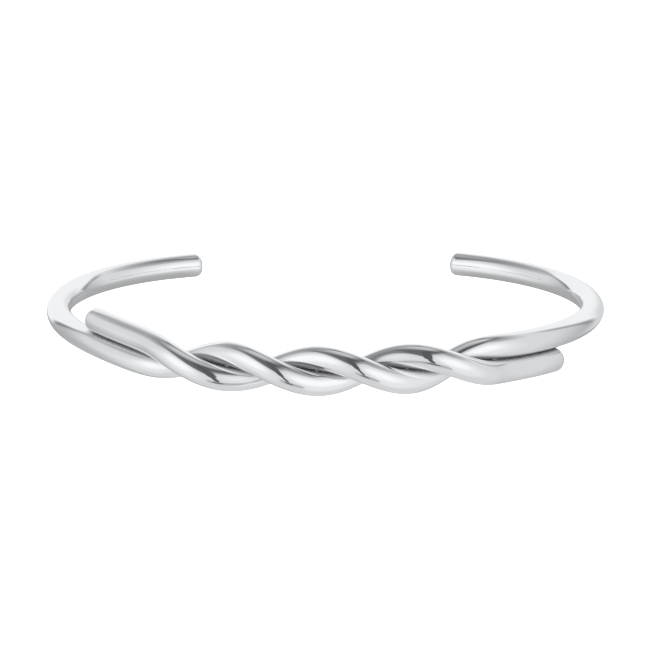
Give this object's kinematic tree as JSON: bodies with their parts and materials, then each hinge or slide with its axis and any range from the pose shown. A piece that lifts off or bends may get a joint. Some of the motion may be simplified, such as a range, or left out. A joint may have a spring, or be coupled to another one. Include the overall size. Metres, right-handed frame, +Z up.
{
  "type": "twisted wire bangle",
  "caption": "Open cuff bangle of round polished wire, wound together at the front, with blunt free ends beside the twist and an open mouth at the back.",
  "frame": {"origin": "on the surface that the bangle lies on, under the middle of its outline", "axes": "+Z up out of that surface, +X across the bangle to the right arm, +Y to the open mouth at the back, so the twist faces -Y"},
  "size_m": [0.062, 0.0518, 0.006],
  "materials": {
    "silver": "polished silver, bright and smooth, with faint polishing marks"
  },
  "bodies": {
    "root": {"left_wire": "silver", "right_wire": "silver"}
  },
  "joints": []
}
